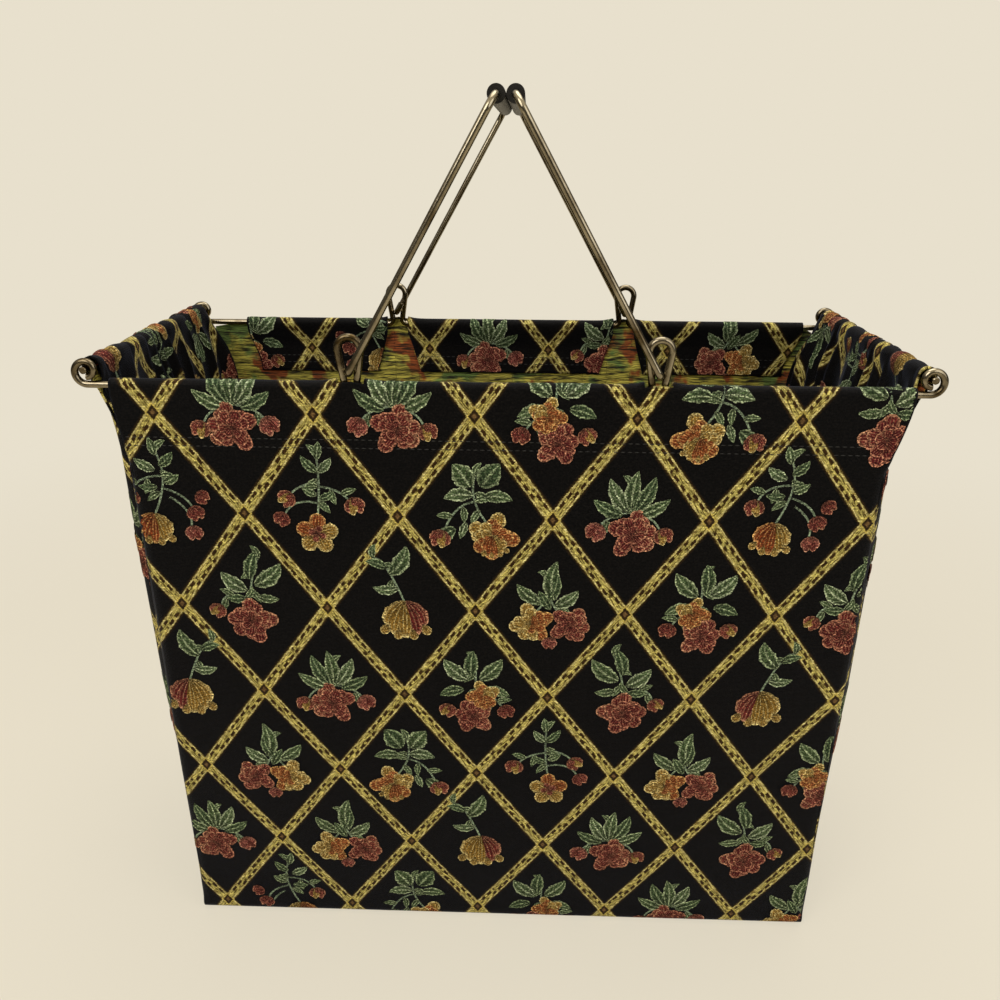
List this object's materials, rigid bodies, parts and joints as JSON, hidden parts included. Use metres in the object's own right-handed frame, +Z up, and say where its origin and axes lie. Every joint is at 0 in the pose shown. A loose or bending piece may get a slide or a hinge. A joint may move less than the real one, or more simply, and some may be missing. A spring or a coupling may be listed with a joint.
{
  "type": "tapestry knitting bag",
  "caption": "Open-topped tapestry cloth bag on a bent-wire rim frame with gathered ends and swinging wire bail handles, for carrying knitting.",
  "frame": {"origin": "middle of the base, on the surface that the bag stands on", "axes": "+Z up, X along the bag's length, the front panel faces -Y"},
  "size_m": [0.4146, 0.1754, 0.4674],
  "materials": {
    "tapestry": "jacquard woven tapestry, black ground with a gold trellis and flower sprigs",
    "frame_wire": "polished plated steel wire, tarnished warm",
    "grip": "black plastic tube",
    "board": "pressed hardboard"
  },
  "bodies": {
    "bag": {"body_cloth": "tapestry", "left_gusset": "tapestry", "right_gusset": "tapestry", "base_board": "board", "front_rim_wire": "frame_wire", "back_rim_wire": "frame_wire", "left_side_wire": "frame_wire", "right_side_wire": "frame_wire"},
    "left_handle": {"left_handle_wire": "frame_wire", "left_grip_sleeve": "grip"},
    "right_handle": {"right_handle_wire": "frame_wire", "right_grip_sleeve": "grip"}
  },
  "joints": [
    {"name": "left_handle_swing", "type": "hinge", "parent": "bag", "child": "left_handle", "pos_m": [-0.073, 0, 0.34386], "axis": [0, 1, 0], "range_deg": [-140, 0]},
    {"name": "right_handle_swing", "type": "hinge", "parent": "bag", "child": "right_handle", "pos_m": [0.073, 0, 0.34386], "axis": [0, 1, 0], "range_deg": [0, 140]}
  ]
}
